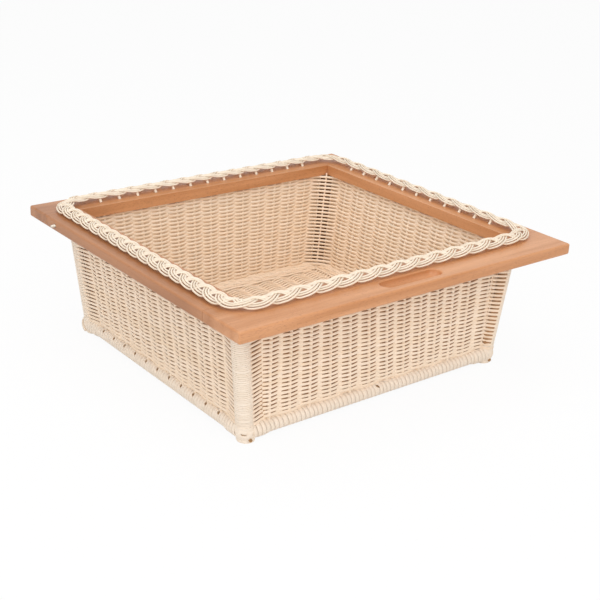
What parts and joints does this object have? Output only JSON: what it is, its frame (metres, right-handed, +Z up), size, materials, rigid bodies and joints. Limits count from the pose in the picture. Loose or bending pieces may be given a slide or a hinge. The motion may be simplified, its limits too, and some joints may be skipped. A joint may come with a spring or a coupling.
{
  "type": "storage basket",
  "caption": "Tapered woven rattan drawer basket hung in a flat beech frame with a finger grip, a plaited border, bound corner posts and bound base bars.",
  "frame": {"origin": "on the floor under the middle of the frame, level with the undersides of the feet", "axes": "+Z up, -Y towards the front rail with the finger grip, +X to the right seen from the front"},
  "size_m": [0.572, 0.525, 0.2043],
  "materials": {
    "beech": "steamed beech, satin lacquer, rounded lip",
    "dowel": "raw beech dowel",
    "pin": "plain bright pin",
    "pole": "peeled rattan pole",
    "binding": "pale split cane, wound close",
    "weave": "round rattan core, plain weave, unlacquered",
    "border": "round rattan core, plaited, unlacquered"
  },
  "bodies": {
    "root": {"front_rail": "beech", "back_rail": "beech", "left_rail": "beech", "right_rail": "beech", "dowel_front_left_outer": "dowel", "dowel_front_left_inner": "dowel", "dowel_back_left_outer": "dowel", "dowel_back_left_inner": "dowel", "dowel_front_right_outer": "dowel", "dowel_front_right_inner": "dowel", "dowel_back_right_outer": "dowel", "dowel_back_right_inner": "dowel", "stop_pin_left": "pin", "stop_pin_right": "pin", "post_front_left": "pole", "post_front_right": "pole", "post_back_right": "pole", "post_back_left": "pole", "post_binding_front_left": "binding", "post_binding_front_right": "binding", "post_binding_back_right": "binding", "post_binding_back_left": "binding", "base_bar_front": "pole", "base_bar_right": "pole", "base_bar_back": "pole", "base_bar_left": "pole", "bar_binding_front": "binding", "bar_binding_right": "binding", "bar_binding_back": "binding", "bar_binding_left": "binding", "wall_front": "weave", "wall_right": "weave", "wall_back": "weave", "wall_left": "weave", "floor": "weave", "border": "border"}
  },
  "joints": []
}
